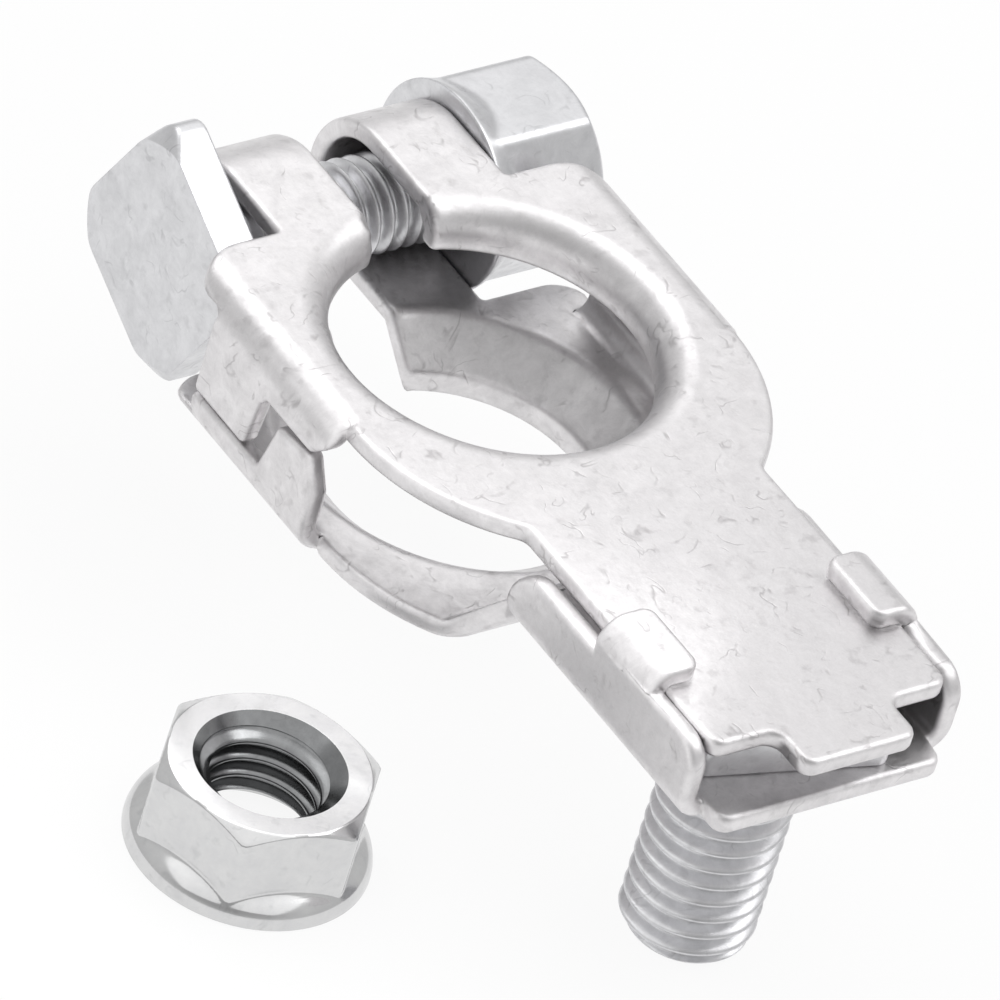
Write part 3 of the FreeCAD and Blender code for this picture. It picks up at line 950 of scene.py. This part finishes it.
def cutter(
    radius: float, low: float, high: float, top_radius: float | None = None
) -> bpy.types.Object:
    """Make a cutting cylinder or cone along +Z. Sizes are in millimetres.

    Args:
        radius: The radius at its low end.
        low: The low end's height.
        high: The high end's height.
        top_radius: The radius at its high end, or None for a cylinder.

    Returns:
        The cutter.
    """
    work = bmesh.new()
    bmesh.ops.create_cone(
        work,
        cap_ends=True,
        segments=CUTTER_SIDES,
        radius1=radius * MM,
        radius2=(radius if top_radius is None else top_radius) * MM,
        depth=(high - low) * MM,
        matrix=Matrix.Translation((0.0, 0.0, (low + high) / 2 * MM)),
    )
    return shaped("cutter", work)


@dataclass
class ClampBody:
    """The folded strip of sheet: rings, side walls, barrels for the bolt, and crimped tail."""

    node: str = "clamp_body"
    edge_round: float = 0.3

    def build(self) -> bpy.types.Object:
        """Dress the pressed body, whose sheared edges are tumbled round.

        Returns:
            The finished piece.
        """
        obj = soften_edges(merged_copy(self.node, "pressed_clamp_body"), self.edge_round)
        paint(obj, TINNED_SHEET.material())
        shade(obj)
        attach(obj, "clamp")
        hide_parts(self.node)
        return obj


@dataclass
class ClampBolt:
    """The square-headed bolt through both barrels, with its rolled thread. In millimetres."""

    node: str = "clamp_bolt"
    head: WrenchHead = WrenchHead(
        sides=4,
        across=11.9,
        height=2.8,
        turn=-26.0,
        corner_round=1.9,
        face_radius=6.9,
        chamfer_radius=7.9,
        chamfer_depth=0.8,
        edge_round=0.3,
    )
    thread_radius: float = 3.0
    pitch: float = 1.0
    end_chamfer: float = 0.8
    root_in_head: float = 0.4

    def build(self, finish: bpy.types.Material) -> bpy.types.Object:
        """Forge the head and roll the shank as a threaded rod.

        Args:
            finish: The bolt's material.

        Returns:
            The finished piece.
        """
        low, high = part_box(self.node)
        middle = (low + high) / 2
        underside = Vector((low.x + self.head.height * MM, middle.y, middle.z))
        bolt = self.head.build("square_head_clamp_bolt")
        place_mesh(bolt, underside, TO_BOLT_HEAD)
        start = underside + TO_BOLT_HEAD * (self.root_in_head * MM)
        thread = Thread(self.thread_radius, self.pitch, (high.x - start.x) / MM, self.end_chamfer)
        shank = thread.build("bolt_thread", finish)
        place_mesh(shank, start, TO_NUT)
        combined(bolt, shank, Combining.JOIN)
        paint(bolt, finish)
        shade(bolt)
        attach(bolt, "bolt")
        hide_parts(self.node)
        return bolt


@dataclass
class ClampNut:
    """The flange nut that draws both arms together. In millimetres."""

    node: str = "clamp_nut"
    head: WrenchHead = WrenchHead(
        sides=6,
        across=11.0,
        height=8.0,
        turn=-2.0,
        corner_round=0.5,
        face_radius=5.35,
        chamfer_radius=6.35,
        chamfer_depth=0.7,
        edge_round=0.2,
        flange=Flange(
            radius=6.4,
            rim_height=0.55,
            shoulder_radius=6.1,
            shoulder_height=1.1,
            cone_radius=5.5,
            cone_height=2.2,
            softness=0.4,
        ),
    )
    bore_radius: float = 3.05
    mouth_radius: float = 3.65
    proud: float = 0.5

    def build(self, finish: bpy.types.Material) -> bpy.types.Object:
        """Forge the nut and bore it for the bolt.

        Args:
            finish: The nut's material.

        Returns:
            The finished piece.
        """
        low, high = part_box(self.node)
        middle = (low + high) / 2
        nut = self.head.build("flange_clamp_nut")
        top = self.head.height
        combined(nut, cutter(self.bore_radius, -self.proud, top + self.proud), Combining.CUT)
        depth = self.mouth_radius - self.bore_radius
        mouth = cutter(
            self.bore_radius, top - depth, top + self.proud, self.mouth_radius + self.proud
        )
        combined(nut, mouth, Combining.CUT)
        place_mesh(nut, Vector((low.x, middle.y, middle.z)), TO_NUT)
        paint(nut, finish)
        shade(nut)
        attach(nut, "nut")
        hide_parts(self.node)
        return nut


@dataclass
class TerminalStud:
    """The threaded post for the cable's eye, held in the tail by its head. In millimetres."""

    node: str = "terminal_stud"
    head_height: float = 2.7
    thread_radius: float = 4.0
    pitch: float = 1.25
    end_chamfer: float = 0.8
    root_in_head: float = 0.4
    edge_round: float = 0.2

    def build(self, finish: bpy.types.Material) -> bpy.types.Object:
        """Make the head from the CAD node and the post as a threaded rod that points down.

        Args:
            finish: The stud's material.

        Returns:
            The finished piece.
        """
        low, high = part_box(self.node)
        underside = high.z - self.head_height * MM
        head = merged_copy(
            self.node,
            "square_head_terminal_stud",
            lambda face: face.calc_center_median().z > underside - SAME_POINT,
        )
        soften_edges(head, self.edge_round)
        start = underside + self.root_in_head * MM
        thread = Thread(self.thread_radius, self.pitch, (start - low.z) / MM, self.end_chamfer)
        post = thread.build("stud_thread", finish)
        middle = (low + high) / 2
        place_mesh(post, Vector((middle.x, middle.y, start)), DOWN)
        stud = combined(head, post, Combining.JOIN)
        paint(stud, finish)
        shade(stud)
        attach(stud, "clamp")
        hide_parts(self.node)
        return stud


@dataclass
class StudNut:
    """The stud's flange nut, off its stud, with its tapped bore. In millimetres."""

    node: str = "stud_nut"
    head: WrenchHead = WrenchHead(
        sides=6,
        across=12.0,
        height=6.2,
        turn=15.0,
        corner_round=0.3,
        face_radius=5.85,
        chamfer_radius=6.93,
        chamfer_depth=0.7,
        edge_round=0.14,
        flange=Flange(
            radius=7.25,
            rim_height=0.65,
            shoulder_radius=6.95,
            shoulder_height=1.2,
            cone_radius=6.0,
            cone_height=1.85,
        ),
    )
    thread_radius: float = 4.05
    pitch: float = 1.25
    mouth_radius: float = 4.5
    mouth_foot_radius: float = 3.2
    proud: float = 0.5
    level_cosine: float = 0.99

    def build(self, finish: bpy.types.Material, cut: bpy.types.Material) -> bpy.types.Object:
        """Forge the nut, tap it and open the mouth of its bore.

        Args:
            finish: The nut's material.
            cut: The material of its bore and mouth, painted shade that is darker than the nut's
                outside.

        Returns:
            The finished piece.
        """
        low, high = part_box(self.node)
        middle = (low + high) / 2
        nut = self.head.build("loose_flange_stud_nut")
        top = self.head.height
        tap = Thread(self.thread_radius, self.pitch, top + 2 * self.proud).build("tap", finish)
        place_mesh(tap, Vector((0.0, 0.0, -self.proud * MM)), UP)
        combined(nut, tap, Combining.CUT)
        depth = self.mouth_radius - self.mouth_foot_radius
        wide, narrow = self.mouth_radius + self.proud, self.mouth_foot_radius
        combined(nut, cutter(narrow, top - depth, top + self.proud, wide), Combining.CUT)
        combined(nut, cutter(wide, -self.proud, depth, narrow), Combining.CUT)
        paint(nut, finish)
        # The bore's walls and the mouth's cone take the second material, painted shade that darkens
        # the inside of the bore.
        nut.data.materials.append(cut)
        for face in nut.data.polygons:
            inside = math.hypot(face.center.x, face.center.y) < self.mouth_radius * MM
            face.material_index = int(inside and abs(face.normal.z) < self.level_cosine)
        place_mesh(nut, Vector((middle.x, middle.y, low.z)), UP)
        shade(nut)
        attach(nut, "clamp")
        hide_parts(self.node)
        return nut


@dataclass
class Lamp:
    """One soft square lamp, by the direction that it stands in from its aim.

    Sizes and places are in metres. Its brightness is that of its face, where 1 is as bright as
    white paper in the render.
    """

    name: str
    direction: tuple[float, float, float]
    size: float
    brightness: float
    distance: float = 0.5
    aim: tuple[float, float, float] = (0.0, 0.0, -0.007)

    def build(self) -> bpy.types.Object:
        """Hang the lamp so that it faces its aim.

        Returns:
            The lamp.
        """
        data = bpy.data.lights.new(self.name, "AREA")
        data.shape = "SQUARE"
        data.size = self.size
        data.energy = self.brightness * math.pi * self.size**2
        lamp = bpy.data.objects.new(self.name, data)
        towards = Vector(self.direction).normalized()
        lamp.location = Vector(self.aim) + towards * self.distance
        lamp.rotation_euler = towards.to_track_quat("Z", "Y").to_euler()
        lamp.visible_camera = False
        bpy.context.scene.collection.objects.link(lamp)
        return lamp


# Points on the loose nut's axis, in metres: at its top face and at its flange.
LOOSE_NUT_TOP = (-0.0209, -0.0139, -0.0128)
LOOSE_NUT_FLANGE = (-0.0209, -0.0139, -0.018)


@dataclass
class Studio:
    """White table top, even surroundings, soft lamps and the camera over the tail's corner.

    Angles are in degrees, and distances in metres apart from the sensor's width.
    """

    azimuth: float = -44.955
    elevation: float = 38.979
    roll: float = -17.317
    distance: float = 1.0
    field_width: float = 0.05687
    aim_right: float = -0.001113
    aim_up: float = 0.006209
    aim_drop: float = 0.00245
    sensor_width: float = 36.0
    floor_width: float = 6.0
    clip: tuple[float, float] = (0.05, 20.0)
    surround: tuple[float, float] = (0.62, 0.72)
    surround_heights: tuple[float, float] = (-0.1, 0.75)
    stand_shade: float = 0.6
    stand_cosines: tuple[float, float] = (0.55, 0.97)
    lamps: tuple[Lamp, ...] = (
        Lamp("key_lamp", (0.55, -0.18, 0.84), 0.35, 1.8),
        Lamp("rim_lamp", (0.1, 0.52, 0.85), 0.3, 1.6),
        Lamp("near_lamp", (0.55, 0.55, 0.63), 0.06, 0.32, 0.09, (0.0, 0.018, 0.002)),
        Lamp("nut_card", (0.55, 0.55, 0.63), 0.014, 0.66, 0.01, LOOSE_NUT_TOP),
        Lamp("flange_card", (-0.2, -0.2, 0.96), 0.044, 0.58, 0.024, LOOSE_NUT_FLANGE),
    )

    def build(self) -> None:
        """Set the floor, the surroundings, the lamps and the camera."""
        self._floor(CAD_BOX[0].z)
        self._surroundings()
        for lamp in self.lamps:
            lamp.build()
        self._camera()
        bpy.context.scene.view_settings.view_transform = "Standard"

    def _floor(self, level: float) -> None:
        """Lay the white board.

        Args:
            level: The height of its top, in metres.
        """
        half = self.floor_width / 2
        signs = ((-1, -1), (1, -1), (1, 1), (-1, 1))
        mesh = bpy.data.meshes.new("table_top")
        mesh.from_pydata([(x * half, y * half, level) for x, y in signs], [], [(0, 1, 2, 3)])
        floor = new_object("table_top", mesh)
        paint(floor, StudioFloor().material())

    def _back(self) -> Vector:
        """Work out where the camera stands.

        Returns:
            The direction from the object to the camera.
        """
        azimuth, elevation = math.radians(self.azimuth), math.radians(self.elevation)
        return Vector(
            (
                math.sin(azimuth) * math.cos(elevation),
                -math.cos(azimuth) * math.cos(elevation),
                math.sin(elevation),
            )
        )

    def _surroundings(self) -> None:
        """Make surroundings that are white to the camera, and to the metal a graded room.

        The room is dim at the horizon and bright overhead, with the shade of the camera's stand.
        """
        world = bpy.data.worlds.new("white_room")
        world.use_nodes = True
        tree = world.node_tree
        tree.nodes.clear()
        place = add_node(tree, "ShaderNodeTexCoord"), "Generated"
        spot = add_node(tree, "ShaderNodeSeparateXYZ", {0: place})
        grade = add_node(
            tree,
            "ShaderNodeMapRange",
            {
                "Value": (spot, 2),
                "From Min": self.surround_heights[0],
                "From Max": self.surround_heights[1],
                "To Min": self.surround[0],
                "To Max": self.surround[1],
            },
        )
        towards_stand = add_node(
            tree, "ShaderNodeVectorMath", {0: place, 1: self._back()}, operation="DOT_PRODUCT"
        )
        shadow = add_node(
            tree,
            "ShaderNodeMapRange",
            {
                "Value": (towards_stand, "Value"),
                "From Min": self.stand_cosines[0],
                "From Max": self.stand_cosines[1],
                "To Min": 1.0,
                "To Max": self.stand_shade,
            },
        )
        light = add_node(
            tree, "ShaderNodeMath", {0: (grade, 0), 1: (shadow, 0)}, operation="MULTIPLY"
        )
        path = add_node(tree, "ShaderNodeLightPath")
        strength = add_node(
            tree,
            "ShaderNodeMath",
            {0: (path, "Is Camera Ray"), 1: (light, 0)},
            operation="MAXIMUM",
        )
        background = add_node(
            tree, "ShaderNodeBackground", {"Color": WHITE, "Strength": (strength, 0)}
        )
        add_node(tree, "ShaderNodeOutputWorld", {"Surface": (background, 0)})
        bpy.context.scene.world = world

    def _camera(self) -> None:
        """Stand the camera where the photograph was taken from."""
        back, roll = self._back(), math.radians(self.roll)
        level_right = UP.cross(back).normalized()
        level_up = back.cross(level_right)
        right = math.cos(roll) * level_right - math.sin(roll) * level_up
        up = math.sin(roll) * level_right + math.cos(roll) * level_up
        data = bpy.data.cameras.new("camera")
        data.sensor_width = self.sensor_width
        data.lens = self.sensor_width * self.distance / self.field_width
        data.clip_start, data.clip_end = self.clip
        camera = bpy.data.objects.new("camera", data)
        place = self.distance * back - self.aim_right * right - self.aim_up * up
        place.z -= self.aim_drop
        turn = Matrix((right, up, back)).transposed().to_4x4()
        camera.matrix_world = Matrix.Translation(place) @ turn
        bpy.context.scene.collection.objects.link(camera)
        bpy.context.scene.camera = camera


def report(obj: bpy.types.Object) -> None:
    """Log a finished piece's name, faces and size."""
    size = ", ".join(f"{side / MM:.2f}" for side in obj.dimensions)
    LOG.info("%s: %d faces, %s mm", obj.name, len(obj.data.polygons), size)


def main() -> None:
    """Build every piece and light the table."""
    logging.basicConfig(level=logging.INFO, format="%(message)s")
    fastener_finish = ZINCED_FASTENER.material()
    report(ClampBody().build())
    report(ClampBolt().build(fastener_finish))
    report(ClampNut().build(fastener_finish))
    report(TerminalStud().build(fastener_finish))
    # The stud nut's second finish is the painted shade of its bore.
    report(StudNut().build(BRIGHT_NUT.material(), BORE_PAINTED_SHADE.material()))
    Studio().build()


if __name__ == "__main__":
    main()
